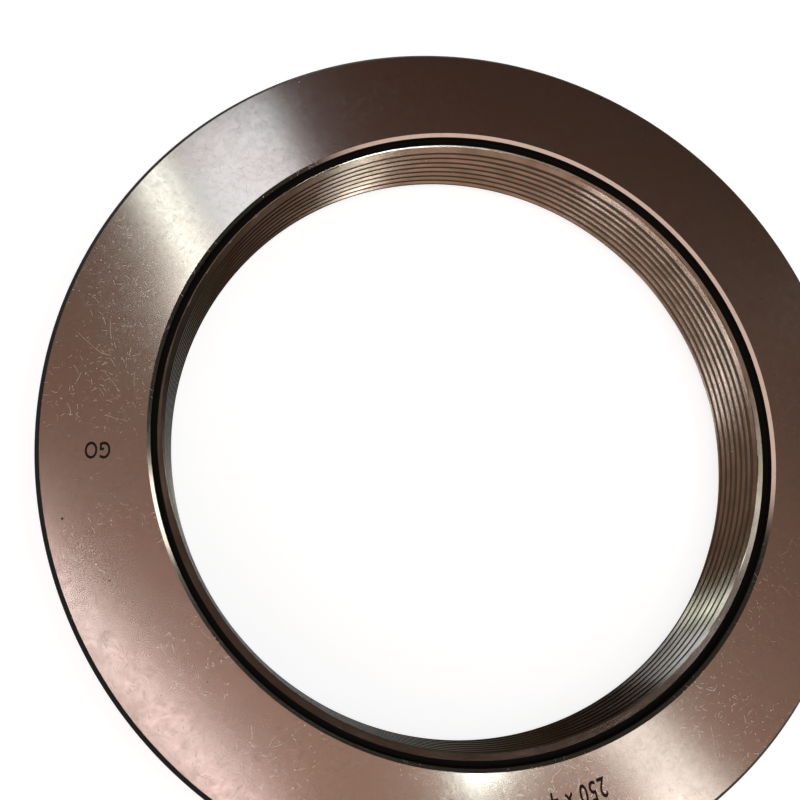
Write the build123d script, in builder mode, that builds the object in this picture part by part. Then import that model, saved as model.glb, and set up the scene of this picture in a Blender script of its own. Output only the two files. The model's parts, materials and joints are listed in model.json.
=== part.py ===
"""Thread ring gauge for a 250 mm external thread with a 4 mm pitch.

The ring is one piece of steel, bored, threaded, turned and lapped. It lies flat
on its lower face: the origin is at the middle of that face and +Z runs up along
the thread axis. All lengths are in millimetres and all angles in degrees.
"""

from build123d import *

import math
import os

# ---- Thread ----
NOMINAL_DIAMETER = 250.0        # major diameter of the thread being gauged
PITCH = 4.0                     # distance from one turn to the next
FLANK_ANGLE = 30.0              # each flank against a plane square to the axis
CREST_FLAT = PITCH / 4          # flat left between turns at the minor diameter
ROOT_FLAT = PITCH / 8           # flat at the bottom of the groove

# ---- Ring body ----
THICKNESS = 40.0                # lower face to upper face
RADIAL_WALL = 43.0              # nominal thread diameter to the rim
RIM_CHAMFER = 2.0               # both outer edges, at 45 degrees

# ---- Recess round each end of the thread ----
RECESS_DEPTH = 4.2              # face to ledge
RECESS_EDGE_CHAMFER = 1.2       # between face and recess wall, at 45 degrees
RECESS_CORNER_CHAMFER = 0.4     # left in the corner of wall and ledge, at 45 degrees
LEDGE_WIDTH = 2.2               # recess wall to the mouth of the lead-in
LEAD_IN_CLEARANCE = 0.4         # mouth of the lead-in beyond the major radius
LEAD_IN_ANGLE = 20.0            # lead-in cone against the face

# ---- Cutters ----
CUTTER_OVERRUN = 0.5            # how far a cutter reaches past the metal

# ---- Worked out from the sizes above ----
flank_slope = math.tan(math.radians(FLANK_ANGLE))
lead_in_slope = math.tan(math.radians(LEAD_IN_ANGLE))
thread_depth = (PITCH - CREST_FLAT - ROOT_FLAT) / (2 * flank_slope)
major_radius = NOMINAL_DIAMETER / 2
minor_radius = major_radius - thread_depth
outer_radius = major_radius + RADIAL_WALL
face_outer_radius = outer_radius - RIM_CHAMFER
lead_in_radius = major_radius + LEAD_IN_CLEARANCE
recess_radius = lead_in_radius + LEDGE_WIDTH
cutter_inner_radius = minor_radius - CUTTER_OVERRUN

# The groove starts and ends half way down a recess, in metal that is turned away.
groove_start = RECESS_DEPTH / 2
groove_length = THICKNESS - RECESS_DEPTH
root_half_width = ROOT_FLAT / 2
cutter_half_width = root_half_width + (major_radius - cutter_inner_radius) * flank_slope


def recess_outline(face_height: float, into_metal: int) -> list[tuple[float, float]]:
    """Corners of one recess, which run past the face and into the bore.

    Args:
        face_height: Height of the face that the recess is turned into.
        into_metal: 1 where the metal lies above that face, -1 where it lies below.

    Returns:
        Radius and height of each corner. The recess corner is the fourth.
    """
    outside = face_height - into_metal * CUTTER_OVERRUN
    ledge = face_height + into_metal * RECESS_DEPTH
    lead_in_end = ledge + into_metal * (lead_in_radius - cutter_inner_radius) * lead_in_slope
    return [
        (cutter_inner_radius, outside),
        (cutter_inner_radius, lead_in_end),
        (lead_in_radius, ledge),
        (recess_radius, ledge),
        (recess_radius, face_height + into_metal * RECESS_EDGE_CHAMFER),
        (recess_radius + RECESS_EDGE_CHAMFER + CUTTER_OVERRUN, outside),
    ]


with BuildPart() as gauge_ring:
    # Blank: a bored ring with both outer edges chamfered.
    with BuildSketch(Plane.XZ):
        with BuildLine():
            Polyline(
                (minor_radius, 0),
                (face_outer_radius, 0),
                (outer_radius, RIM_CHAMFER),
                (outer_radius, THICKNESS - RIM_CHAMFER),
                (face_outer_radius, THICKNESS),
                (minor_radius, THICKNESS),
                close=True,
            )
        make_face()
    revolve(axis=Axis.Z)

    # Thread: one right-hand groove through the whole bore.
    with BuildLine() as groove_path:
        Helix(pitch=PITCH, height=groove_length, radius=major_radius, center=(0, 0, groove_start))
    with BuildSketch(Plane.XZ):
        with BuildLine():
            Polyline(
                (cutter_inner_radius, groove_start - cutter_half_width),
                (major_radius, groove_start - root_half_width),
                (major_radius, groove_start + root_half_width),
                (cutter_inner_radius, groove_start + cutter_half_width),
                close=True,
            )
        make_face()
    sweep(path=groove_path.wire(), is_frenet=True, mode=Mode.SUBTRACT)

    # Recesses: turned into both faces, with a lead-in cone down to the thread.
    for face_height, into_metal in ((0.0, 1), (THICKNESS, -1)):
        outline = recess_outline(face_height, into_metal)
        with BuildSketch(Plane.XZ) as recess_section:
            with BuildLine():
                Polyline(*outline, close=True)
            make_face()
            recess_corner = recess_section.vertices().sort_by_distance(outline[3])[0]
            chamfer(recess_corner, length=RECESS_CORNER_CHAMFER)
        revolve(axis=Axis.Z, mode=Mode.SUBTRACT)

gauge_ring.part.label = "gauge_ring"

os.makedirs("parts", exist_ok=True)
export_step(gauge_ring.part, "parts/gauge_ring.step")
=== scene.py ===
"""Looks of a large thread ring gauge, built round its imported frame.

The ring is one piece: a turned and lapped body with an internal right-hand thread,
black oxide on its rim and recesses, and marks cut into its upper face. All lengths
are in metres, with the origin in the middle of the lower face and +Z along the
thread axis. Angles are in degrees unless a name ends in _rad.
"""

import json
import logging
import math
from dataclasses import dataclass
from enum import Enum

import bmesh
import bpy
from mathutils import Euler, Matrix, Vector

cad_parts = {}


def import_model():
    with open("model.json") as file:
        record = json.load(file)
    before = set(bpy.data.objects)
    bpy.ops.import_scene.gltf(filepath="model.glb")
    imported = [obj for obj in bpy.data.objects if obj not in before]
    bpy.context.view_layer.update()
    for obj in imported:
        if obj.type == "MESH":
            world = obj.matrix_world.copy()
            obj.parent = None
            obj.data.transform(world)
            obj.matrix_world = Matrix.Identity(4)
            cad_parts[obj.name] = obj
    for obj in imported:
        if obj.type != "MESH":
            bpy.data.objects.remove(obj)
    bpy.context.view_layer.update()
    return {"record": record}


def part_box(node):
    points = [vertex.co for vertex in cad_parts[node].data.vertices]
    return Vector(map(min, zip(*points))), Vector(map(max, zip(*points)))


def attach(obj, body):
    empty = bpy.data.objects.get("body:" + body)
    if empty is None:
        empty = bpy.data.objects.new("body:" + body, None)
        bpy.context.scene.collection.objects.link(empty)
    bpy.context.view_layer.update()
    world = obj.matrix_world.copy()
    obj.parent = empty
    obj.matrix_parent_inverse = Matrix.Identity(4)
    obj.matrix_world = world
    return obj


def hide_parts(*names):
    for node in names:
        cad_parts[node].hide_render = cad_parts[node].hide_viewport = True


MM = 0.001
NODE = "gauge_ring"
BODY = "root"

log = logging.getLogger("ring_gauge")


# ---------------------------------------------------------------- node graphs


class Graph:
    """A node tree, with short calls for the nodes that shapes and finishes share."""

    def __init__(self, tree: bpy.types.NodeTree) -> None:
        """Takes a tree and empties it.

        Args:
            tree: Tree that the nodes go into.
        """
        self.tree = tree
        self.tree.nodes.clear()

    def node(self, kind: str, **settings: object) -> bpy.types.Node:
        """Adds a node.

        Args:
            kind: Type name of the node.
            settings: Properties to set on it.

        Returns:
            The new node.
        """
        node = self.tree.nodes.new(kind)
        for name, value in settings.items():
            setattr(node, name, value)
        return node

    def feed(self, socket: bpy.types.NodeSocket, value: object) -> None:
        """Links an output to an input socket, or sets the input's own value.

        Args:
            socket: Input socket.
            value: Output to link, or a plain value.
        """
        if isinstance(value, bpy.types.NodeSocket):
            self.tree.links.new(value, socket)
        else:
            socket.default_value = value

    def math(self, operation: str, *values: object) -> bpy.types.NodeSocket:
        """Adds a Math node.

        Args:
            operation: What the node does.
            values: Its inputs, in order.

        Returns:
            The node's output.
        """
        node = self.node("ShaderNodeMath", operation=operation)
        for socket, value in zip(node.inputs, values):
            self.feed(socket, value)
        return node.outputs[0]

    def vector(self, operation: str, *values: object) -> bpy.types.Node:
        """Adds a Vector Math node.

        Args:
            operation: What the node does.
            values: Its inputs, in order.

        Returns:
            The node, whose output depends on the operation.
        """
        node = self.node("ShaderNodeVectorMath", operation=operation)
        for socket, value in zip(node.inputs, values):
            self.feed(socket, value)
        return node

    def combine(self, x: object, y: object, z: object = 0.0) -> bpy.types.NodeSocket:
        """Adds a Combine XYZ node.

        Args:
            x: First part of the vector.
            y: Second part.
            z: Third part.

        Returns:
            The vector.
        """
        node = self.node("ShaderNodeCombineXYZ")
        for socket, value in zip(node.inputs, (x, y, z)):
            self.feed(socket, value)
        return node.outputs[0]

    def separate(self, vector: bpy.types.NodeSocket) -> tuple[bpy.types.NodeSocket, ...]:
        """Adds a Separate XYZ node.

        Args:
            vector: Vector to take apart.

        Returns:
            The three parts.
        """
        node = self.node("ShaderNodeSeparateXYZ")
        self.feed(node.inputs[0], vector)
        return tuple(node.outputs)

    def total(self, first: object, *others: object) -> bpy.types.NodeSocket:
        """Adds several values together.

        Args:
            first: First value.
            others: The rest.

        Returns:
            The sum.
        """
        for other in others:
            first = self.math("ADD", first, other)
        return first


class ShapeGraph(Graph):
    """A Geometry Nodes tree with named size inputs."""

    def __init__(self, name: str) -> None:
        """Makes a tree with one geometry output.

        Args:
            name: Name of the tree.
        """
        super().__init__(bpy.data.node_groups.new(name, "GeometryNodeTree"))
        self.tree.interface.new_socket("Geometry", in_out="OUTPUT", socket_type="NodeSocketGeometry")
        self.sizes: dict[str, object] = {}
        self.entry = self.node("NodeGroupInput")

    def shape_input(self, name: str) -> bpy.types.NodeSocket:
        """Adds the geometry input, which is the object's own mesh, and returns its socket."""
        self.tree.interface.new_socket(name, in_out="INPUT", socket_type="NodeSocketGeometry")
        return self.entry.outputs[name]

    def size(self, name: str, value: float | int) -> bpy.types.NodeSocket:
        """Adds a named size input.

        Args:
            name: Name of the input.
            value: Value that the modifier sets on it.

        Returns:
            The input's socket inside the tree.
        """
        kind = "NodeSocketInt" if isinstance(value, int) else "NodeSocketFloat"
        item = self.tree.interface.new_socket(name, in_out="INPUT", socket_type=kind)
        self.sizes[item.identifier] = value
        return self.entry.outputs[name]

    def finish(self, geometry: bpy.types.NodeSocket, bands: list[tuple[float, bpy.types.Material]]) -> None:
        """Closes the tree: instances made real, then each face's material by its radius.

        Args:
            geometry: Geometry that the tree puts out.
            bands: Inner radius and material of each band, from the axis outwards.
        """
        real = self.node("GeometryNodeRealizeInstances")
        self.feed(real.inputs[0], geometry)
        across = self.vector("MULTIPLY", self.node("GeometryNodeInputPosition").outputs[0], (1.0, 1.0, 0.0))
        radius = self.vector("LENGTH", across.outputs[0]).outputs["Value"]
        geometry = real.outputs[0]
        for inner, material in bands:
            beyond = self.node("FunctionNodeCompare", data_type="FLOAT", operation="GREATER_THAN")
            self.feed(beyond.inputs[0], radius)
            self.feed(beyond.inputs[1], inner)
            paint = self.node("GeometryNodeSetMaterial")
            self.feed(paint.inputs["Geometry"], geometry)
            self.feed(paint.inputs["Selection"], beyond.outputs[0])
            self.feed(paint.inputs["Material"], material)
            geometry = paint.outputs[0]
        self.feed(self.node("NodeGroupOutput").inputs[0], geometry)

    def run(self, obj: bpy.types.Object) -> bpy.types.Mesh:
        """Runs the tree on an object and returns the result as a plain mesh.

        Args:
            obj: Object whose mesh feeds the tree. It has no modifier afterwards.

        Returns:
            A new mesh that no modifier drives.
        """
        modifier = obj.modifiers.new(self.tree.name, "NODES")
        modifier.node_group = self.tree
        for identifier, value in self.sizes.items():
            modifier[identifier] = value
        bpy.context.view_layer.update()
        evaluated = obj.evaluated_get(bpy.context.evaluated_depsgraph_get())
        mesh = bpy.data.meshes.new_from_object(evaluated)
        obj.modifiers.remove(modifier)
        return mesh


class FinishGraph(Graph):
    """A material's node tree."""

    SEED_STEP = (17.3, 9.1, 0.0)    # how far one seed moves the strokes, in cells
    SHORTEST_STROKE = 0.3           # against the longest one of its kind
    STROKE_TAPER = 0.12             # share of the length over which each end fades
    SMALLEST_SPECK = 0.2            # against the largest one of its kind
    RESHUFFLE = 37.0                # makes a second random number out of a first

    def __init__(self, name: str) -> None:
        """Makes an empty node material.

        Args:
            name: Name of the material.
        """
        self.material = bpy.data.materials.new(name)
        self.material.use_nodes = True
        super().__init__(self.material.node_tree)
        self.output = self.node("ShaderNodeOutputMaterial")

    def place(self) -> bpy.types.NodeSocket:
        """Returns the Object coordinates, in metres."""
        return self.node("ShaderNodeTexCoord").outputs["Object"]

    def noise(self, vector: object, scale: float, detail: float = 2.0, rough: float = 0.5,
              distortion: float = 0.0) -> bpy.types.NodeSocket:
        """Adds a Noise Texture.

        Args:
            vector: Coordinates that it reads.
            scale: Cells of noise in each unit of them.
            detail: Number of finer layers.
            rough: Weight of the finer layers.
            distortion: How far the noise bends itself.

        Returns:
            The noise, from 0 to 1.
        """
        node = self.node("ShaderNodeTexNoise")
        for name, value in (("Vector", vector), ("Scale", scale), ("Detail", detail),
                            ("Roughness", rough), ("Distortion", distortion)):
            self.feed(node.inputs[name], value)
        return node.outputs["Fac"]

    def remap(self, value: object, low: float, high: float, to_low: float = 0.0,
              to_high: float = 1.0) -> bpy.types.NodeSocket:
        """Maps one range onto another, clamped.

        Args:
            value: Value to map.
            low: Value that gives to_low.
            high: Value that gives to_high.
            to_low: Result at low and below.
            to_high: Result at high and above.

        Returns:
            The result.
        """
        node = self.node("ShaderNodeMapRange", clamp=True)
        for name, number in (("Value", value), ("From Min", low), ("From Max", high),
                             ("To Min", to_low), ("To Max", to_high)):
            self.feed(node.inputs[name], number)
        return node.outputs[0]

    def mix(self, share: object, first: object, second: object) -> bpy.types.NodeSocket:
        """Mixes two colours.

        Args:
            share: Share of the second colour.
            first: First colour.
            second: Second colour.

        Returns:
            The mixed colour.
        """
        node = self.node("ShaderNodeMix", data_type="RGBA")
        self.feed(node.inputs[0], share)
        self.feed(node.inputs[6], first)
        self.feed(node.inputs[7], second)
        return node.outputs[2]

    def rim_frame(self, place: bpy.types.NodeSocket) -> tuple[bpy.types.NodeSocket, ...]:
        """Adds the nodes that tell where a point lies about the axis.

        Args:
            place: Object coordinates.

        Returns:
            The radius, the height and the unit vector away from the axis.
        """
        across = self.vector("MULTIPLY", place, (1.0, 1.0, 0.0)).outputs[0]
        radius = self.vector("LENGTH", across).outputs["Value"]
        outward = self.vector("NORMALIZE", across).outputs[0]
        return radius, self.separate(place)[2], outward

    def ring_marks(self, outward: bpy.types.NodeSocket, along: bpy.types.NodeSocket, round_scale: float,
                   along_scale: float) -> bpy.types.NodeSocket:
        """Adds coordinates in which a noise runs round the axis without a seam.

        Args:
            outward: Unit vector away from the axis.
            along: Radius or height, in metres.
            round_scale: Cells of noise in each radian.
            along_scale: Cells of noise in each metre of radius or height.

        Returns:
            The coordinates.
        """
        spread = self.vector("MULTIPLY", outward, (round_scale, round_scale, 0.0)).outputs[0]
        lift = self.combine(0.0, 0.0, self.math("MULTIPLY", along, along_scale))
        return self.vector("ADD", spread, lift).outputs[0]

    def strokes(self, place: bpy.types.NodeSocket, stroke: "Strokes") -> bpy.types.NodeSocket:
        """Scatters short curved strokes over the face, one to a cell.

        Args:
            place: Object coordinates.
            stroke: Size, bend and share of the strokes.

        Returns:
            Depth of the stroke, up to 1, and 0 away from all of them.
        """
        spot = self.vector("SCALE", place)
        spot.inputs["Scale"].default_value = 1.0 / stroke.cell
        seed_shift = tuple(stroke.seed * step for step in self.SEED_STEP)
        shifted = self.vector("ADD", spot.outputs[0], seed_shift).outputs[0]
        cells = self.node("ShaderNodeTexVoronoi", voronoi_dimensions="2D")
        self.feed(cells.inputs["Vector"], shifted)
        self.feed(cells.inputs["Scale"], 1.0)
        away = self.vector("SUBTRACT", shifted, cells.outputs["Position"]).outputs[0]
        x, y, _ = self.separate(away)
        first, second, third = self.separate(cells.outputs["Color"])
        angle = self.math("MULTIPLY", first, math.tau)
        cosine, sine = self.math("COSINE", angle), self.math("SINE", angle)
        along = self.math("ADD", self.math("MULTIPLY", x, cosine), self.math("MULTIPLY", y, sine))
        off = self.math("SUBTRACT", self.math("MULTIPLY", y, cosine), self.math("MULTIPLY", x, sine))
        bend = self.math("MULTIPLY", self.math("SUBTRACT", second, 0.5), 2.0 * stroke.bend)
        off = self.math("ADD", off, self.math("MULTIPLY", bend, self.math("MULTIPLY", along, along)))
        line = self.remap(self.math("ABSOLUTE", off), 0.0, stroke.width / stroke.cell, 1.0, 0.0)
        length = self.math("MULTIPLY", third, 1.0 - self.SHORTEST_STROKE)
        length = self.math("ADD", length, self.SHORTEST_STROKE)
        reach = self.math("MULTIPLY", length, 0.5 * stroke.length / stroke.cell)
        ends = self.remap(self.math("SUBTRACT", reach, self.math("ABSOLUTE", along)),
                          0.0, self.STROKE_TAPER * stroke.length / stroke.cell)
        chance = self.math("FRACT", self.math("MULTIPLY", first, self.RESHUFFLE))
        depth = self.remap(chance, 0.0, stroke.share, 1.0, 0.0)
        return self.math("MULTIPLY", depth, self.math("MULTIPLY", line, ends))

    def specks(self, place: bpy.types.NodeSocket, speck: "Specks", flat: bool = True) -> bpy.types.NodeSocket:
        """Scatters round specks.

        Args:
            place: Object coordinates.
            speck: Size and share of the specks.
            flat: Whether the surface lies level, so that height plays no part.

        Returns:
            1 on a speck and 0 away from all of them.
        """
        cells = self.node("ShaderNodeTexVoronoi", voronoi_dimensions="2D" if flat else "3D")
        self.feed(cells.inputs["Vector"], place)
        self.feed(cells.inputs["Scale"], 1.0 / speck.cell)
        first, second, _ = self.separate(cells.outputs["Color"])
        size = self.math("ADD", self.math("MULTIPLY", second, 1.0 - self.SMALLEST_SPECK), self.SMALLEST_SPECK)
        reach = self.math("MULTIPLY", size, speck.size / speck.cell)
        near = self.math("LESS_THAN", cells.outputs["Distance"], reach)
        return self.math("MULTIPLY", near, self.math("LESS_THAN", first, speck.share))

    def shader(self, colour: object, roughness: object, metallic: float = 1.0,
               anisotropic: float = 0.0) -> bpy.types.Node:
        """Adds a Principled shader, joined to the output.

        Args:
            colour: Base colour.
            roughness: Roughness.
            metallic: 1 for metal and 0 for anything else.
            anisotropic: How much the highlight is stretched.

        Returns:
            The shader.
        """
        shader = self.node("ShaderNodeBsdfPrincipled")
        shader.inputs["Metallic"].default_value = metallic
        shader.inputs["Anisotropic"].default_value = anisotropic
        self.feed(shader.inputs["Base Color"], colour)
        self.feed(shader.inputs["Roughness"], roughness)
        self.tree.links.new(shader.outputs[0], self.output.inputs["Surface"])
        return shader

    def bump(self, shader: bpy.types.Node, height: bpy.types.NodeSocket, distance: float,
             strength: float = 1.0) -> None:
        """Joins a Bump node to a shader.

        Args:
            shader: Shader whose normal is bumped.
            height: Height from 0 to 1.
            distance: Real depth of a height of 1.
            strength: Share of the bump that shows.
        """
        node = self.node("ShaderNodeBump")
        node.inputs["Strength"].default_value = strength
        node.inputs["Distance"].default_value = distance
        self.feed(node.inputs["Height"], height)
        self.tree.links.new(node.outputs[0], shader.inputs["Normal"])


# ---------------------------------------------------------------- finishes


def shaded(colour: tuple[float, float, float], factor: float = 1.0) -> tuple[float, float, float, float]:
    """Returns an opaque colour, made lighter or darker by a factor."""
    return (colour[0] * factor, colour[1] * factor, colour[2] * factor, 1.0)


@dataclass(frozen=True)
class Strokes:
    """One kind of stroke scattered over a face, one to a cell.

    The cell, length and width are in metres. The bend is how far a stroke curves over a
    cell, the share is the share of cells that hold one, and the seed moves the cells.
    """

    cell: float
    length: float
    width: float
    bend: float
    share: float
    seed: int


@dataclass(frozen=True)
class Specks:
    """One kind of round speck: size of its cell, largest radius and share of the cells that hold one."""

    cell: float
    size: float
    share: float


@dataclass(frozen=True)
class LappedSteel:
    """Bare tool steel, lapped in circles about the thread axis and lightly scratched, its real scratches and
    flecks painted pale as painted glints.

    Scales are cells of noise in a metre, or in a radian where a name says round.
    """

    colour: tuple[float, float, float] = (0.585, 0.525, 0.48)
    warm: tuple[float, float, float] = (0.60, 0.505, 0.455)
    tint_scale: float = 24.0
    dulled: float = 0.62
    roughness: float = 0.15
    roughness_spread: tuple[float, float] = (0.9, 1.12)
    anisotropic: float = 0.35
    grain_scale: float = 560.0
    lap_round_scale: float = 12.0
    lap_scale: float = 900.0
    lap_share: float = 0.4
    blotch_scale: float = 260.0
    bump_depth: float = 0.0032 * MM
    scratch_painted_glint: tuple[float, float, float] = (0.92, 0.88, 0.83)
    burr_roughness: float = 0.55
    burr_metal_loss: float = 0.5
    scratches: tuple[Strokes, ...] = (
        Strokes(cell=19 * MM, length=17 * MM, width=0.09 * MM, bend=0.25, share=0.8, seed=1),
        Strokes(cell=7 * MM, length=6.5 * MM, width=0.10 * MM, bend=0.6, share=0.9, seed=2),
        Strokes(cell=3.0 * MM, length=3.0 * MM, width=0.10 * MM, bend=0.8, share=0.9, seed=3),
        Strokes(cell=2.1 * MM, length=1.3 * MM, width=0.11 * MM, bend=0.5, share=0.5, seed=4),
    )
    flecks: Specks = Specks(cell=3.8 * MM, size=0.26 * MM, share=0.22)
    pits: Specks = Specks(cell=17.0 * MM, size=0.45 * MM, share=0.12)
    pit_shift: tuple[float, float, float] = (0.31, 0.17, 0.0)
    pit_shade: float = 0.04
    handled_scale: float = 26.0
    least_handled: float = 0.15
    clean_side: tuple[float, float, float] = (0.6, 0.8, 0.0)
    clean_from: float = 0.75
    clean_share: float = 0.12

    def build(self) -> bpy.types.Material:
        """Builds the material.

        Returns:
            The finished material.
        """
        graph = FinishGraph("lapped_face")
        place = graph.place()
        radius, _, outward = graph.rim_frame(place)
        tint = graph.remap(graph.noise(place, self.tint_scale, detail=3.0), 0.35, 0.65)
        colour = graph.mix(tint, shaded(self.colour), shaded(self.warm))
        grain = graph.noise(place, self.grain_scale, detail=5.0, rough=0.75, distortion=0.4)
        circles = graph.ring_marks(outward, radius, self.lap_round_scale, self.lap_scale)
        laps = graph.noise(circles, 1.0, detail=3.0, rough=0.6)
        blotch = graph.noise(place, self.blotch_scale, detail=3.0, rough=0.65, distortion=0.6)
        dull = graph.math("MULTIPLY", graph.remap(grain, 0.4, 0.7, to_high=0.5),
                          graph.remap(blotch, 0.4, 0.65))
        colour = graph.mix(dull, colour, shaded(self.colour, self.dulled))

        light = graph.math("MULTIPLY", self.marks(graph, place), self.handled(graph, place, outward))
        low, high = (self.roughness * factor for factor in self.roughness_spread)
        base = graph.remap(blotch, 0.3, 0.7, low, high)
        rougher = graph.math("MULTIPLY", light, self.burr_roughness - self.roughness)
        roughness = graph.math("ADD", base, rougher)
        # Real scratches and flecks, painted pale and made less metallic so that they show as painted glints.
        colour = graph.mix(light, colour, shaded(self.scratch_painted_glint))
        shifted = graph.vector("ADD", place, self.pit_shift).outputs[0]
        colour = graph.mix(graph.specks(shifted, self.pits), colour, shaded(self.colour, self.pit_shade))

        shader = graph.shader(colour, roughness, anisotropic=self.anisotropic)
        metal_loss = graph.math("MULTIPLY", light, self.burr_metal_loss)
        graph.feed(shader.inputs["Metallic"], graph.math("SUBTRACT", 1.0, metal_loss))
        graph.feed(shader.inputs["Tangent"], outward)
        height = graph.total(graph.math("MULTIPLY", grain, 1.0 - self.lap_share),
                             graph.math("MULTIPLY", laps, self.lap_share))
        graph.bump(shader, height, self.bump_depth)
        return graph.material

    def marks(self, graph: FinishGraph, place: bpy.types.NodeSocket) -> bpy.types.NodeSocket:
        """Joins all strokes and flecks.

        Args:
            graph: The material's graph.
            place: Object coordinates.

        Returns:
            Depth of the deepest mark at each point, up to 1.
        """
        marks = graph.specks(place, self.flecks)
        for stroke in self.scratches:
            marks = graph.math("MAXIMUM", marks, graph.strokes(place, stroke))
        return marks

    def handled(self, graph: FinishGraph, place: bpy.types.NodeSocket,
                outward: bpy.types.NodeSocket) -> bpy.types.NodeSocket:
        """Finds how much each place has been handled, which is little on the clean side.

        Args:
            graph: The material's graph.
            place: Object coordinates.
            outward: Unit vector away from the axis.

        Returns:
            The share of the marks that shows.
        """
        toward = graph.vector("DOT_PRODUCT", outward, self.clean_side).outputs["Value"]
        patches = graph.noise(place, self.handled_scale, detail=3.0)
        return graph.math("MULTIPLY", graph.remap(toward, 0.0, self.clean_from, 1.0, self.clean_share),
                          graph.remap(patches, 0.38, 0.60, to_low=self.least_handled))


@dataclass(frozen=True)
class BlackenedSteel:
    """Black oxide over turned steel, rubbed a little along its edges, glossier on the oiled rim.

    The edges are radii and heights above the middle of the ring. Scales are cells of
    noise in a metre, or in a radian where a name says round.
    """

    edges: tuple[tuple[float, float], ...]
    middle: float
    rim_radius: float
    colour: tuple[float, float, float] = (0.0055, 0.0048, 0.0042)
    roughness: float = 0.42
    gloss: float = 0.04
    rim_colour: tuple[float, float, float] = (0.011, 0.010, 0.0093)
    rim_roughness: float = 0.27
    rim_gloss: float = 0.34
    rim_start: float = 0.3 * MM
    rim_end: float = 0.1 * MM
    patch_scale: float = 90.0
    rubbed: tuple[float, float, float] = (0.07, 0.064, 0.06)
    rub_width: float = 0.22 * MM
    rub_share: float = 0.45
    rub_scale: float = 140.0
    turned_round_scale: float = 5.0
    turned_scale: float = 2400.0
    bump_depth: float = 0.02 * MM

    def build(self) -> bpy.types.Material:
        """Builds the material.

        Returns:
            The finished material.
        """
        graph = FinishGraph("black_oxide")
        place = graph.place()
        radius, height, outward = graph.rim_frame(place)
        patches = graph.noise(place, self.patch_scale, detail=4.0, rough=0.6)
        on_rim = graph.remap(radius, self.rim_radius - self.rim_start, self.rim_radius - self.rim_end)
        rim = graph.mix(patches, shaded(self.rim_colour, 0.6), shaded(self.rim_colour, 1.6))
        oxide = graph.mix(patches, shaded(self.colour, 0.7), shaded(self.colour, 1.5))
        worn = graph.remap(graph.noise(place, self.rub_scale, detail=4.0), 0.4, 0.68)
        near = graph.remap(self.from_edges(graph, radius, height), 0.0, self.rub_width, self.rub_share, 0.0)
        oxide = graph.mix(on_rim, oxide, rim)
        colour = graph.mix(graph.math("MULTIPLY", worn, near), oxide, shaded(self.rubbed))

        circles = graph.ring_marks(outward, graph.math("ADD", radius, height), self.turned_round_scale,
                                   self.turned_scale)
        turned = graph.noise(circles, 1.0, detail=4.0, rough=0.7)
        roughness = graph.remap(patches, 0.3, 0.7, self.roughness - 0.05, self.roughness + 0.08)
        streaks = graph.math("MULTIPLY", graph.remap(turned, 0.35, 0.65, 0.5, 1.5),
                             self.roughness - self.rim_roughness)
        roughness = graph.math("SUBTRACT", roughness, graph.math("MULTIPLY", on_rim, streaks))
        shader = graph.shader(colour, roughness, metallic=0.0)
        gloss = graph.remap(on_rim, 0.0, 1.0, self.gloss, self.rim_gloss)
        graph.feed(shader.inputs["Specular IOR Level"], gloss)
        graph.bump(shader, turned, self.bump_depth)
        return graph.material

    def from_edges(self, graph: FinishGraph, radius: bpy.types.NodeSocket,
                   height: bpy.types.NodeSocket) -> bpy.types.NodeSocket:
        """Finds the distance from the nearest edge that wears, at either end of the ring.

        Args:
            graph: The material's graph.
            radius: Radius at each point.
            height: Height at each point.

        Returns:
            The distance, in metres.
        """
        from_middle = graph.math("ABSOLUTE", graph.math("SUBTRACT", height, self.middle))
        nearest = None
        for edge_radius, edge_height in self.edges:
            gap = graph.combine(graph.math("SUBTRACT", radius, edge_radius),
                                graph.math("SUBTRACT", from_middle, edge_height))
            distance = graph.vector("LENGTH", gap).outputs["Value"]
            nearest = distance if nearest is None else graph.math("MINIMUM", nearest, distance)
        return nearest


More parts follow.
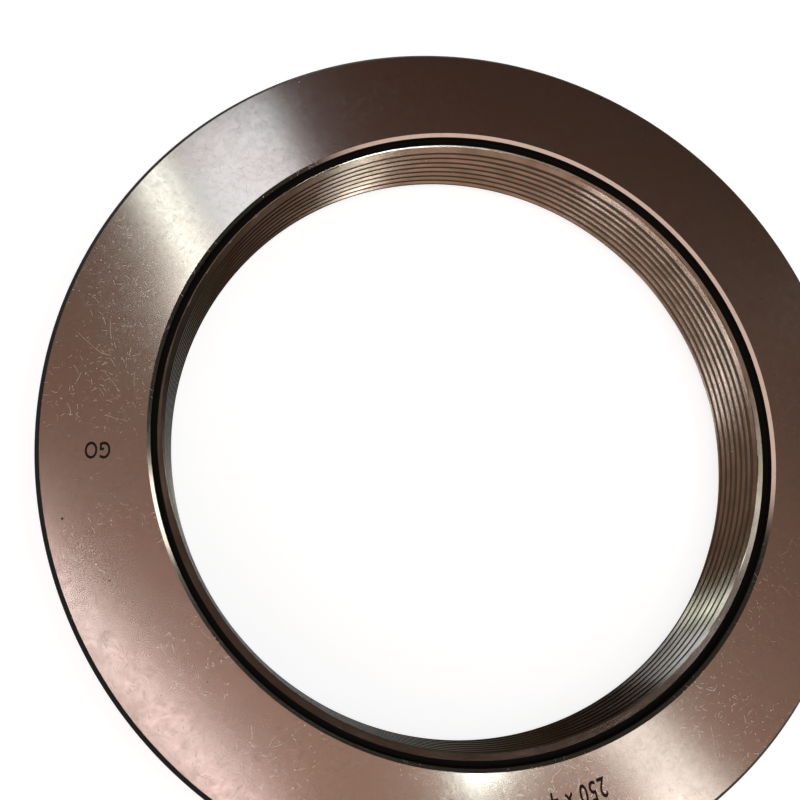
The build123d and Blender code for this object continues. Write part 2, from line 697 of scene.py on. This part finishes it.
@dataclass(frozen=True)
class GroundThread:
    """Ground thread flanks and lead-in cones, with a brown oil film, painted shade on the crests and a dark
    grazing tint that paints shade into their reflections.

    Scales are cells of noise in a metre, or in a radian where a name says round.
    """

    crest_radius: float
    colour: tuple[float, float, float] = (0.47, 0.415, 0.37)
    filmed: tuple[float, float, float] = (0.33, 0.30, 0.245)
    crest_painted_shade: tuple[float, float, float] = (0.06, 0.05, 0.04)
    grazing_painted_shade: tuple[float, float, float] = (0.3, 0.27, 0.24)
    crest_band: float = 0.3 * MM
    roughness: float = 0.12
    film_round_scale: float = 9.0
    film_scale: float = 130.0
    ground_round_scale: float = 8.0
    ground_scale: float = 4200.0
    bump_depth: float = 0.006 * MM
    dust: Specks = Specks(cell=3.0 * MM, size=0.2 * MM, share=0.05)
    dust_colour: tuple[float, float, float] = (0.8, 0.78, 0.74)
    dust_roughness: float = 0.4

    def build(self) -> bpy.types.Material:
        """Builds the material.

        Returns:
            The finished material.
        """
        graph = FinishGraph("oiled_thread_painted_shade")
        place = graph.place()
        radius, height, outward = graph.rim_frame(place)
        runs = graph.ring_marks(outward, height, self.film_round_scale, self.film_scale)
        film = graph.remap(graph.noise(runs, 1.0, detail=4.0), 0.35, 0.65)
        colour = graph.mix(film, shaded(self.colour), shaded(self.filmed))
        on_crest = graph.remap(radius, self.crest_radius, self.crest_radius + self.crest_band, 1.0, 0.0)
        # Painted shade: the band along the crests is painted near-black.
        colour = graph.mix(on_crest, colour, shaded(self.crest_painted_shade))
        dust = graph.specks(place, self.dust, flat=False)
        colour = graph.mix(dust, colour, shaded(self.dust_colour))

        circles = graph.ring_marks(outward, graph.math("ADD", radius, height), self.ground_round_scale,
                                   self.ground_scale)
        lines = graph.noise(circles, 1.0, detail=2.0)
        roughness = graph.remap(lines, 0.3, 0.7, self.roughness - 0.03, self.roughness + 0.04)
        roughness = graph.math("ADD", roughness, graph.math("MULTIPLY", dust, self.dust_roughness))
        shader = graph.shader(colour, roughness)
        # Painted shade: a dark grazing tint that dims the thread's reflections.
        shader.inputs["Specular Tint"].default_value = shaded(self.grazing_painted_shade)
        graph.bump(shader, lines, self.bump_depth)
        return graph.material


@dataclass(frozen=True)
class Etching:
    """Dark etched bottom and walls of a mark."""

    colour: tuple[float, float, float] = (0.014, 0.006, 0.004)
    roughness: float = 0.5
    gloss: float = 0.15
    pitting_scale: float = 1800.0
    bump_depth: float = 0.03 * MM

    def build(self) -> bpy.types.Material:
        """Builds the material.

        Returns:
            The finished material.
        """
        graph = FinishGraph("etched_mark")
        pitting = graph.noise(graph.place(), self.pitting_scale, detail=3.0)
        colour = graph.mix(pitting, shaded(self.colour, 0.5), shaded(self.colour, 1.8))
        roughness = graph.remap(pitting, 0.3, 0.7, self.roughness - 0.1, self.roughness + 0.15)
        shader = graph.shader(colour, roughness, metallic=0.0)
        shader.inputs["Specular IOR Level"].default_value = self.gloss
        graph.bump(shader, pitting, self.bump_depth)
        return graph.material


@dataclass(frozen=True)
class PaleFloor:
    """Matt white paper, which is white where it is lit and keeps the shadow.

    What the camera sees is part lit paper and part glow. The glow rises from its near
    strength to 1 between two radii, so that the far floor is as white as the room.
    """

    colour: tuple[float, float, float] = (0.9, 0.9, 0.9)
    seen_colour: tuple[float, float, float] = (0.56, 0.60, 0.64)
    fibre_scale: float = 300.0
    glow: float = 0.77
    near_radius: float = 0.3
    far_radius: float = 1.0

    def build(self) -> bpy.types.Material:
        """Builds the material.

        Returns:
            The finished material.
        """
        graph = FinishGraph("pale_floor")
        place = graph.place()
        radius, _, _ = graph.rim_frame(place)
        fibres = graph.noise(place, self.fibre_scale, detail=4.0)
        path = graph.node("ShaderNodeLightPath")
        seen = path.outputs["Is Camera Ray"]
        for ray in ("Is Glossy Ray", "Is Transmission Ray"):
            seen = graph.math("MAXIMUM", seen, path.outputs[ray])
        plain = graph.mix(fibres, shaded(self.colour, 0.985), shaded(self.colour))
        paper = graph.node("ShaderNodeBsdfDiffuse")
        graph.feed(paper.inputs["Color"], graph.mix(seen, plain, shaded(self.seen_colour)))
        white = graph.node("ShaderNodeEmission")
        glow = graph.remap(radius, self.near_radius, self.far_radius, self.glow, 1.0)
        graph.feed(white.inputs["Strength"], graph.math("MULTIPLY", seen, glow))
        both = graph.node("ShaderNodeAddShader")
        graph.feed(both.inputs[0], paper.outputs[0])
        graph.feed(both.inputs[1], white.outputs[0])
        graph.feed(graph.output.inputs["Surface"], both.outputs[0])
        return graph.material


# ---------------------------------------------------------------- the ring


class RingEnd(Enum):
    """The two ends of the thread, each with the way from its face into the metal."""

    LOWER = 1.0
    UPPER = -1.0


@dataclass
class GaugeRing:
    """The whole ring: blank, recesses, lead-in cones and thread."""

    outer_radius: float
    thickness: float
    minor_radius: float
    major_radius: float = 125.0 * MM
    pitch: float = 4.0 * MM
    flank_angle: float = 30.0
    root_flat: float = 0.5 * MM
    groove_start: float = 2.1 * MM
    rim_chamfer: float = 2.0 * MM
    recess_depth: float = 4.2 * MM
    recess_edge_chamfer: float = 1.2 * MM
    recess_corner_chamfer: float = 0.4 * MM
    ledge_width: float = 2.2 * MM
    lead_in_clearance: float = 0.4 * MM
    lead_in_angle: float = 20.0
    columns: int = 480
    rows_per_pitch: int = 16
    lead_in_rows: int = 12
    wall_margin: float = 0.05 * MM
    weld_distance: float = 1e-6
    sliver_length: float = 1e-7
    sharp_angle: float = 15.0

    @property
    def lead_in_radius(self) -> float:
        """Radius of the mouth of the lead-in cone."""
        return self.major_radius + self.lead_in_clearance

    @property
    def recess_radius(self) -> float:
        """Radius of the recess wall."""
        return self.lead_in_radius + self.ledge_width

    @property
    def bare_radius(self) -> float:
        """Radius just past the recess wall, from which the steel is bare."""
        return self.recess_radius + self.wall_margin

    @property
    def face_radius(self) -> float:
        """Outer radius of the flat face."""
        return self.outer_radius - self.rim_chamfer

    @property
    def lead_in_height(self) -> float:
        """Height of the lead-in cone, from the ledge to the thread's crests."""
        reach = self.lead_in_radius - self.minor_radius
        return reach * math.tan(math.radians(self.lead_in_angle))

    def rubbed_edges(self) -> tuple[tuple[float, float], ...]:
        """Lists the blackened edges that wear.

        Returns:
            Radius of each edge and its height above the middle of the ring.
        """
        half = self.thickness / 2
        return (
            (self.recess_radius, half - self.recess_edge_chamfer),
            (self.recess_radius + self.recess_edge_chamfer, half),
            (self.face_radius, half),
            (self.outer_radius, half - self.rim_chamfer),
        )

    def turned_profile(self) -> list[tuple[float, float]]:
        """Lists the corners of the turned outside, from the lower ledge to the upper one.

        Returns:
            Radius and height of each corner.
        """
        wall = self.recess_radius
        ledge = self.recess_depth
        corner = self.recess_corner_chamfer
        edge = self.recess_edge_chamfer
        lower = [
            (self.lead_in_radius, ledge),
            (wall - corner, ledge),
            (wall, ledge - corner),
            (wall, edge),
            (wall + edge, 0.0),
            (self.face_radius, 0.0),
            (self.outer_radius, self.rim_chamfer),
        ]
        upper = [(radius, self.thickness - height) for radius, height in reversed(lower)]
        return lower + upper

    def profile_object(self) -> bpy.types.Object:
        """Makes an object whose mesh is the turned profile, as points in the XZ plane.

        Returns:
            The object.
        """
        mesh = bpy.data.meshes.new("turned_profile")
        mesh.from_pydata([(radius, 0.0, height) for radius, height in self.turned_profile()], [], [])
        obj = bpy.data.objects.new("gauge_ring_body", mesh)
        bpy.context.scene.collection.objects.link(obj)
        return obj

    def sheet(self, graph: ShapeGraph, rows: int) -> tuple[bpy.types.NodeSocket, ...]:
        """Adds a sheet that wraps once round the axis, before it gets its place.

        Args:
            graph: Tree that it goes into.
            rows: Number of rows of points, from the first round the profile to the last.

        Returns:
            The sheet, the share of a turn at each point, and each point's row number.
        """
        grid = graph.node("GeometryNodeMeshGrid")
        graph.feed(grid.inputs["Vertices X"], self.columns + 1)
        graph.feed(grid.inputs["Vertices Y"], rows)
        across, along, _ = graph.separate(graph.node("GeometryNodeInputPosition").outputs[0])
        turn = graph.math("ADD", across, 0.5)
        row = graph.math("ROUND", graph.math("MULTIPLY", graph.math("ADD", along, 0.5), rows - 1.0))
        return grid.outputs["Mesh"], turn, row

    def wrap(self, graph: ShapeGraph, sheet: bpy.types.NodeSocket, turn: bpy.types.NodeSocket,
             radius: bpy.types.NodeSocket, height: bpy.types.NodeSocket) -> bpy.types.NodeSocket:
        """Puts every point of a sheet at its turn, radius and height.

        Args:
            graph: Tree that the sheet is in.
            sheet: Sheet to wrap.
            turn: Share of a turn at each point.
            radius: Radius at each point.
            height: Height at each point.

        Returns:
            The wrapped sheet.
        """
        whole = graph.math("FLOORED_MODULO", turn, 1.0)
        angle = graph.math("MULTIPLY", whole, math.tau)
        x = graph.math("MULTIPLY", radius, graph.math("COSINE", angle))
        y = graph.math("MULTIPLY", radius, graph.math("SINE", angle))
        place = graph.node("GeometryNodeSetPosition")
        graph.feed(place.inputs["Geometry"], sheet)
        graph.feed(place.inputs["Position"], graph.combine(x, y, height))
        return place.outputs[0]

    def build_mesh(self, bands: list[tuple[float, bpy.types.Material]]) -> bpy.types.Object:
        """Builds the ring as one closed mesh.

        Args:
            bands: Inner radius and material of each band, from the axis outwards.

        Returns:
            The ring's object.
        """
        graph = ShapeGraph("threaded_ring")
        profile = graph.shape_input("Profile")
        minor = graph.size("Minor Radius", self.minor_radius)
        major = graph.size("Major Radius", self.major_radius)
        pitch = graph.size("Pitch", self.pitch)
        root = graph.size("Root Flat", self.root_flat)
        flank = graph.size("Flank Angle", math.radians(self.flank_angle))
        start = graph.size("Groove Start", self.groove_start)
        cone_radius = graph.size("Lead In Radius", self.lead_in_radius)
        cone_angle = graph.size("Lead In Angle", math.radians(self.lead_in_angle))
        ledge = graph.size("Ledge Height", self.recess_depth)
        tall = graph.size("Thickness", self.thickness)

        def bore_radius(turn: bpy.types.NodeSocket, height: bpy.types.NodeSocket) -> bpy.types.NodeSocket:
            """Finds the radius of the threaded bore and its lead-in cones.

            Args:
                turn: Share of a turn.
                height: Height above the lower face.

            Returns:
                The radius there.
            """
            rise = graph.math("SUBTRACT", graph.math("SUBTRACT", height, start),
                              graph.math("MULTIPLY", pitch, turn))
            off = graph.math("ABSOLUTE", graph.math("WRAP", rise, graph.math("MULTIPLY", pitch, 0.5),
                                                    graph.math("MULTIPLY", pitch, -0.5)))
            half_root = graph.math("MULTIPLY", root, 0.5)
            beyond = graph.math("MAXIMUM", graph.math("SUBTRACT", off, half_root), 0.0)
            groove = graph.math("SUBTRACT", major, graph.math("DIVIDE", beyond, graph.math("TANGENT", flank)))
            from_end = graph.math("MINIMUM", height, graph.math("SUBTRACT", tall, height))
            sunk = graph.math("DIVIDE", graph.math("SUBTRACT", from_end, ledge),
                              graph.math("TANGENT", cone_angle))
            cone = graph.math("SUBTRACT", cone_radius, sunk)
            return graph.math("MAXIMUM", graph.math("MAXIMUM", groove, minor), cone)

        join = graph.node("GeometryNodeJoinGeometry")
        low = self.recess_depth + self.lead_in_height
        high = self.thickness - low
        step = self.pitch / self.rows_per_pitch
        thread_rows = math.ceil((high - self.first_row(low)) / step) + 1

        sheet, turn, row = self.sheet(graph, thread_rows)
        row_step = graph.math("DIVIDE", pitch, float(self.rows_per_pitch))
        height = graph.total(graph.math("MULTIPLY", row, row_step), self.first_row(low),
                             graph.math("MULTIPLY", pitch, turn))
        height = graph.math("MINIMUM", graph.math("MAXIMUM", height, low), high)
        thread = self.wrap(graph, sheet, turn, bore_radius(turn, height), height)
        graph.feed(join.inputs[0], thread)

        for end in RingEnd:
            sheet, turn, row = self.sheet(graph, self.lead_in_rows + 1)
            sunk = graph.math("MULTIPLY", row, self.lead_in_height / self.lead_in_rows)
            height = graph.math("ADD", sunk, ledge)
            if end is RingEnd.UPPER:
                height = graph.math("SUBTRACT", tall, height)
            cone = self.wrap(graph, sheet, turn, bore_radius(turn, height), height)
            graph.feed(join.inputs[0], cone)

        sheet, turn, row = self.sheet(graph, len(self.turned_profile()))
        sample = graph.node("GeometryNodeSampleIndex", data_type="FLOAT_VECTOR")
        graph.feed(sample.inputs["Geometry"], profile)
        graph.feed(sample.inputs["Value"], graph.node("GeometryNodeInputPosition").outputs[0])
        graph.feed(sample.inputs["Index"], row)
        radius, _, height = graph.separate(sample.outputs["Value"])
        body = self.wrap(graph, sheet, turn, radius, height)
        graph.feed(join.inputs[0], body)

        weld = graph.node("GeometryNodeMergeByDistance")
        graph.feed(weld.inputs["Geometry"], join.outputs[0])
        graph.feed(weld.inputs["Distance"], self.weld_distance)
        graph.finish(weld.outputs[0], bands)

        ring = self.profile_object()
        ring.data = graph.run(ring)
        return ring

    def first_row(self, low: float) -> float:
        """Height of the thread's first row of points at the start of a turn.

        Args:
            low: Lowest height of the threaded stretch.

        Returns:
            A height at least one pitch under low, where a corner of the groove falls on a row.
        """
        corner = self.groove_start + self.root_flat / 2
        step = self.pitch / self.rows_per_pitch
        return corner - math.ceil((corner - low + self.pitch) / step) * step

    def cut(self, ring: bpy.types.Object, marks: list["Mark"], bottom: bpy.types.Material) -> None:
        """Cuts the marks into the upper face.

        Args:
            ring: The ring's object.
            marks: Marks to cut.
            bottom: Material of the cut surfaces.
        """
        cutter = bpy.data.objects.new("mark_cutter", marks_mesh(marks, self.thickness))
        cutter.data.materials.append(bottom)
        bpy.context.scene.collection.objects.link(cutter)
        modifier = ring.modifiers.new("marks", "BOOLEAN")
        modifier.operation = "DIFFERENCE"
        modifier.solver = "EXACT"
        modifier.material_mode = "TRANSFER"
        modifier.object = cutter
        bpy.context.view_layer.update()
        evaluated = ring.evaluated_get(bpy.context.evaluated_depsgraph_get())
        ring.data = bpy.data.meshes.new_from_object(evaluated)
        ring.modifiers.remove(modifier)
        bpy.data.objects.remove(cutter)

    def close(self, ring: bpy.types.Object) -> None:
        """Points the faces outwards, marks the corners that stay sharp and drops unused slots.

        Args:
            ring: The ring's object.
        """
        mesh = ring.data
        mesh.name = "gauge_ring_body"
        used = sorted({polygon.material_index for polygon in mesh.polygons})
        kept = [mesh.materials[index] for index in used]
        places = [used.index(polygon.material_index) for polygon in mesh.polygons]
        mesh.materials.clear()
        for material in kept:
            mesh.materials.append(material)
        mesh.polygons.foreach_set("material_index", places)
        work = bmesh.new()
        work.from_mesh(mesh)
        bmesh.ops.dissolve_degenerate(work, dist=self.sliver_length, edges=work.edges[:])
        bmesh.ops.recalc_face_normals(work, faces=work.faces[:])
        open_edges = sum(1 for edge in work.edges if not edge.is_manifold)
        work.to_mesh(mesh)
        work.free()
        mesh.polygons.foreach_set("use_smooth", [True] * len(mesh.polygons))
        mesh.set_sharp_from_angle(angle=math.radians(self.sharp_angle))
        log.info("%s: %d faces, %d open edges, materials %s", ring.name, len(mesh.polygons), open_edges,
                 ", ".join(material.name for material in mesh.materials))


# ---------------------------------------------------------------- marks


class Reading(Enum):
    """How a mark's characters stand on the face."""

    ROUND_THE_RIM = "each character stands on a circle, with its top outwards"
    LEVEL = "all characters stand on one straight line"


@dataclass(frozen=True)
class Mark:
    """Plain characters cut into the upper face. The azimuth is that of their middle.

    The weight, the closest points and half the height of a solid are in the font's own
    units. The sizes above them are in metres, and narrow is a share of the font's width.
    """

    text: str
    azimuth: float
    radius: float
    height: float
    gap: float
    word_gap: float
    reading: Reading
    narrow: float = 0.66
    weight: float = 0.014
    closest: float = 0.019
    half_solid: float = 0.5
    curve_steps: int = 5
    depth: float = 0.12 * MM
    turn: float = 180.0

    def glyph(self, character: str) -> bpy.types.Mesh:
        """Makes one character as a closed solid, in the font's own units.

        Args:
            character: Character to make.

        Returns:
            The solid's mesh, half above the XY plane and half below it.
        """
        curve = bpy.data.curves.new("glyph", "FONT")
        curve.body = character
        curve.extrude = self.half_solid
        curve.offset = self.weight
        curve.resolution_u = self.curve_steps
        obj = bpy.data.objects.new("glyph", curve)
        bpy.context.scene.collection.objects.link(obj)
        bpy.context.view_layer.update()
        evaluated = obj.evaluated_get(bpy.context.evaluated_depsgraph_get())
        mesh = bpy.data.meshes.new_from_object(evaluated)
        bpy.data.objects.remove(obj)
        self.refill(mesh)
        return mesh

    def refill(self, mesh: bpy.types.Mesh) -> None:
        """Merges points of the outline that the weight has made cross, and fills both ends again.

        Args:
            mesh: Character's mesh, which is changed.
        """
        work = bmesh.new()
        work.from_mesh(mesh)
        bmesh.ops.remove_doubles(work, verts=work.verts[:], dist=self.closest)
        ends = [face for face in work.faces if len({corner.co.z > 0.0 for corner in face.verts}) == 1]
        bmesh.ops.delete(work, geom=ends, context="FACES")
        for side in (1.0, -1.0):
            outline = [edge for edge in work.edges
                       if all(corner.co.z * side > 0.0 for corner in edge.verts)]
            bmesh.ops.triangle_fill(work, edges=outline, use_beauty=True, normal=(0.0, 0.0, side))
        work.to_mesh(mesh)
        work.free()

    def box(self, mesh: bpy.types.Mesh) -> tuple[Vector, Vector]:
        """Finds the box of a glyph.

        Args:
            mesh: The glyph's mesh.

        Returns:
            Its lowest and highest corner.
        """
        corners = [vertex.co for vertex in mesh.vertices]
        return (Vector([min(c[i] for c in corners) for i in range(3)]),
                Vector([max(c[i] for c in corners) for i in range(3)]))

    def frame(self, along: float) -> Matrix:
        """Finds the place of a character whose middle lies some way along the mark.

        Args:
            along: Distance from the middle of the mark, in reading direction.

        Returns:
            The place of the middle of the character's foot, with its top along Y.
        """
        if self.reading is Reading.ROUND_THE_RIM:
            angle = math.radians(self.azimuth) - along / (self.radius + self.height / 2)
            up = Vector((math.cos(angle), math.sin(angle), 0.0))
            foot = up * self.radius
        else:
            angle = math.radians(self.azimuth)
            up = Vector((0.0, 1.0, 0.0))
            up.rotate(Euler((0.0, 0.0, math.radians(self.turn))))
            middle = Vector((math.cos(angle), math.sin(angle), 0.0)) * self.radius
            foot = middle + Vector((up.y, -up.x, 0.0)) * along - up * self.height / 2
        right = Vector((up.y, -up.x, 0.0))
        return Matrix(((right.x, up.x, 0.0, foot.x), (right.y, up.y, 0.0, foot.y),
                       (0.0, 0.0, 1.0, 0.0), (0.0, 0.0, 0.0, 1.0)))

    def solids(self, face_height: float) -> list[tuple[bpy.types.Mesh, Matrix]]:
        """Makes the characters' solids, so that they reach past the face.

        Args:
            face_height: Height of the face that is cut.

        Returns:
            Each character's solid and its place.
        """
        tall = self.box(self.glyph("0"))
        scale = self.height / (tall[1].y - tall[0].y)
        found, width = [], 0.0
        for character in self.text:
            if character == " ":
                width += self.word_gap
                continue
            mesh = self.glyph(character)
            low, high = self.box(mesh)
            half = (high.x - low.x) / 2 * scale * self.narrow
            lift = 0.5 * (self.height - (high.y - low.y) * scale) if character == "\u00d7" else 0.0
            place = (Matrix.Translation((-(low.x + high.x) / 2, -low.y, 0.0)), lift, width + half)
            found.append((mesh, place))
            width += 2 * half + self.gap
        width -= self.gap
        solids = []
        for mesh, (centre, lift, middle) in found:
            size = Matrix.Diagonal((scale * self.narrow, scale, self.depth / self.half_solid, 1.0))
            raise_up = Matrix.Translation((0.0, lift, face_height))
            solids.append((mesh, self.frame(middle - width / 2) @ raise_up @ size @ centre))
        return solids


MARK_WELD = 0.002 * MM


def marks_mesh(marks: list[Mark], face_height: float) -> bpy.types.Mesh:
    """Joins the solids of all marks into one mesh.

    Args:
        marks: Marks to join.
        face_height: Height of the face that they are cut into.

    Returns:
        Closed solids, half above the face and half below it.
    """
    joined = bmesh.new()
    for mark in marks:
        for mesh, place in mark.solids(face_height):
            mesh.transform(place)
            joined.from_mesh(mesh)
    bmesh.ops.remove_doubles(joined, verts=joined.verts[:], dist=MARK_WELD)
    bmesh.ops.recalc_face_normals(joined, faces=joined.faces[:])
    mesh = bpy.data.meshes.new("marks")
    joined.to_mesh(mesh)
    joined.free()
    log.info("marks: %d characters", sum(len(mark.text.replace(" ", "")) for mark in marks))
    return mesh


# ---------------------------------------------------------------- studio


class LampShape(Enum):
    """Outlines of a soft lamp."""

    OBLONG = "RECTANGLE"
    ROUND = "ELLIPSE"


@dataclass(frozen=True)
class SoftLamp:
    """A soft lamp that faces the middle of the floor.

    The half width and half height are angles seen from there, in radians. The glow is
    the brightness of its face, where 1 is as bright as white paper in full light.
    """

    name: str
    azimuth: float
    elevation: float
    half_width: float
    half_height: float
    roll: float
    glow: tuple[float, float, float]
    shape: LampShape = LampShape.OBLONG
    distance: float = 1.3

    def build(self) -> bpy.types.Object:
        """Makes the lamp.

        Returns:
            The lamp's object.
        """
        azimuth, elevation, roll = (math.radians(a) for a in (self.azimuth, self.elevation, self.roll))
        away = Vector((math.cos(elevation) * math.cos(azimuth), math.cos(elevation) * math.sin(azimuth),
                       math.sin(elevation)))
        side = Vector((-math.sin(azimuth), math.cos(azimuth), 0.0))
        up = away.cross(side)
        across = side * math.cos(roll) + up * math.sin(roll)
        along = up * math.cos(roll) - side * math.sin(roll)
        lamp = bpy.data.lights.new(self.name, "AREA")
        lamp.shape = self.shape.value
        lamp.size = 2 * self.half_width * self.distance
        lamp.size_y = 2 * self.half_height * self.distance
        area = lamp.size * lamp.size_y * (math.pi / 4 if self.shape is LampShape.ROUND else 1.0)
        brightest = max(self.glow)
        lamp.color = [value / brightest for value in self.glow]
        lamp.energy = brightest * math.pi * area
        obj = bpy.data.objects.new(self.name, lamp)
        obj.matrix_world = Matrix.Translation(away * self.distance) @ Matrix(
            (across, along, away)).transposed().to_4x4()
        bpy.context.scene.collection.objects.link(obj)
        return obj


@dataclass(frozen=True)
class Studio:
    """Pale floor, soft lamps and a dim room with one warm wall."""

    lamps: tuple[SoftLamp, ...]
    overhead: tuple[float, float, float] = (0.060, 0.029, 0.020)
    warm_side: tuple[float, float, float] = (0.549, 0.359, 0.277)
    warm_azimuth: float = 252.0
    warm_edge: tuple[float, float] = (-0.7, 0.7)
    lit_wall: tuple[float, float, float] = (1.0, 0.82, 0.75)
    lit_azimuth: float = 232.0
    lit_edge: tuple[float, float] = (0.0, 0.2)
    walls: tuple[float, float, float] = (0.035, 0.033, 0.026)
    wall_top: float = 0.85
    wall_foot: float = 0.60
    floor_half_width: float = 5.0
    floor_drop: float = 0.05 * MM

    def build(self) -> None:
        """Builds the floor, the lamps and the room."""
        self.build_floor()
        for lamp in self.lamps:
            lamp.build()
        self.build_room()
        log.info("studio: %d lamps", len(self.lamps))

    def build_floor(self) -> None:
        """Lays the floor just under the ring."""
        half, drop = self.floor_half_width, -self.floor_drop
        mesh = bpy.data.meshes.new("floor")
        mesh.from_pydata([(-half, -half, drop), (half, -half, drop), (half, half, drop), (-half, half, drop)],
                         [], [(0, 1, 2, 3)])
        mesh.materials.append(PaleFloor().build())
        floor = bpy.data.objects.new("floor", mesh)
        bpy.context.scene.collection.objects.link(floor)

    def build_room(self) -> None:
        """Makes the room's light, by direction."""
        world = bpy.data.worlds.new("room")
        world.use_nodes = True
        bpy.context.scene.world = world
        graph = Graph(world.node_tree)
        x, y, z = graph.separate(graph.node("ShaderNodeTexCoord").outputs["Generated"])

        def side(azimuth: float, low: float, high: float) -> bpy.types.NodeSocket:
            """Finds the share of one side of the room.

            Args:
                azimuth: Azimuth of the side's middle.
                low: Lean towards it at which the side starts.
                high: Lean towards it from which the side is full.

            Returns:
                The share, from 0 to 1.
            """
            turn = math.radians(azimuth)
            lean = graph.math("ADD", graph.math("MULTIPLY", x, math.cos(turn)),
                              graph.math("MULTIPLY", y, math.sin(turn)))
            return smooth(lean, low, high)

        def smooth(value: bpy.types.NodeSocket, low: float, high: float) -> bpy.types.NodeSocket:
            """Steps smoothly from 0 to 1.

            Args:
                value: Value that the step follows.
                low: Value up to which the result is 0.
                high: Value from which the result is 1.

            Returns:
                The result.
            """
            node = graph.node("ShaderNodeMapRange", interpolation_type="SMOOTHSTEP")
            for name, number in (("Value", value), ("From Min", low), ("From Max", high)):
                graph.feed(node.inputs[name], number)
            return node.outputs[0]

        def blend(share: bpy.types.NodeSocket, first: object, second: object) -> bpy.types.NodeSocket:
            """Mixes two colours.

            Args:
                share: Share of the second colour.
                first: First colour.
                second: Second colour.

            Returns:
                The mixed colour.
            """
            node = graph.node("ShaderNodeMix", data_type="RGBA")
            for index, value in ((0, share), (6, first), (7, second)):
                graph.feed(node.inputs[index], value)
            return node.outputs[2]

        warm = tuple(a + b for a, b in zip(self.overhead, self.warm_side))
        above = blend(side(self.warm_azimuth, *self.warm_edge), shaded(self.overhead), shaded(warm))
        around = blend(side(self.lit_azimuth, *self.lit_edge), shaded(self.walls), shaded(self.lit_wall))
        colour = blend(smooth(z, self.wall_foot, self.wall_top), around, above)
        seen = graph.node("ShaderNodeLightPath").outputs["Is Camera Ray"]
        background = graph.node("ShaderNodeBackground")
        graph.feed(background.inputs["Color"], blend(seen, colour, (1.0, 1.0, 1.0, 1.0)))
        graph.feed(graph.node("ShaderNodeOutputWorld").inputs["Surface"], background.outputs[0])


@dataclass(frozen=True)
class View:
    """The camera: its place in metres, its turn in degrees, and its lens and sensor in millimetres."""

    place: tuple[float, float, float]
    turn: tuple[float, float, float]
    lens: float
    sensor: float = 36.0

    def build(self) -> None:
        """Makes the camera and looks through it."""
        camera = bpy.data.cameras.new("camera")
        camera.lens = self.lens
        camera.sensor_width = self.sensor
        obj = bpy.data.objects.new("camera", camera)
        obj.location = self.place
        obj.rotation_euler = Euler([math.radians(angle) for angle in self.turn])
        bpy.context.scene.collection.objects.link(obj)
        bpy.context.scene.camera = obj
        bpy.context.scene.view_settings.view_transform = "Standard"


MARKS = [
    Mark(text="GO", azimuth=183.8, radius=146.0 * MM, height=6.3 * MM, gap=0.8 * MM, word_gap=0.0,
         reading=Reading.LEVEL),
    Mark(text="250 \u00d7 4", azimuth=281.6, radius=138.2 * MM, height=7.4 * MM, gap=0.9 * MM,
         word_gap=1.8 * MM, reading=Reading.ROUND_THE_RIM),
]

LAMPS = (
    SoftLamp("ceiling", 33.9, 72.6, 0.12, 0.12, 0.0, (4.0, 4.0, 4.0), LampShape.ROUND),
    SoftLamp("window", 22.0, 19.0, 0.07, 0.29, 0.0, (3.0, 3.1, 2.9)),
    SoftLamp("far_lamp", 321.0, 51.0, 0.035, 0.08, 0.0, (4.5, 4.3, 4.0)),
    SoftLamp("far_strip", 342.0, 67.0, 0.03, 0.03, 0.0, (2.6, 2.5, 2.3)),
    SoftLamp("upper_window", 94.3, 62.5, 0.069, 0.169, 23.0, (1.28, 1.48, 1.66)),
    SoftLamp("upper_strip", 108.8, 64.5, 0.0235, 0.180, 10.1, (2.75, 3.12, 3.00)),
    SoftLamp("left_strip", 205.8, 74.2, 0.340, 0.009, 14.6, (5.71, 5.29, 5.58)),
    SoftLamp("right_screen", 5.3, 77.8, 0.040, 0.550, -52.4, (1.27, 1.35, 1.33)),
    SoftLamp("lower_strip", 335.2, 71.5, 0.008, 0.167, -83.2, (20.75, 25.62, 25.30)),
)


def main() -> None:
    """Builds the ring, its marks and finishes, and the studio."""
    logging.basicConfig(level=logging.INFO, format="%(name)s: %(message)s")
    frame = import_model()
    lowest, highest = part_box(NODE)
    thread = next(mount for mount in frame["record"]["mounts"] if mount["name"] == "thread")
    ring = GaugeRing(outer_radius=highest.x, thickness=highest.z - lowest.z,
                     minor_radius=thread["dims"]["r_mm"] * MM)

    black = BlackenedSteel(edges=ring.rubbed_edges(), middle=ring.thickness / 2,
                           rim_radius=ring.outer_radius).build()
    lapped = LappedSteel().build()
    thread_finish = GroundThread(crest_radius=ring.minor_radius).build()
    bands = [(0.0, thread_finish), (ring.lead_in_radius, black),
             (ring.bare_radius, lapped), (ring.face_radius, black)]
    body = ring.build_mesh(bands)
    ring.cut(body, MARKS, Etching().build())
    ring.close(body)
    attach(body, BODY)
    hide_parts(NODE)

    Studio(lamps=LAMPS).build()
    View(place=(-0.09337, -0.06278, 0.3501), turn=(13.34, -10.524, -1.99), lens=37.024).build()


if __name__ == "__main__":
    main()
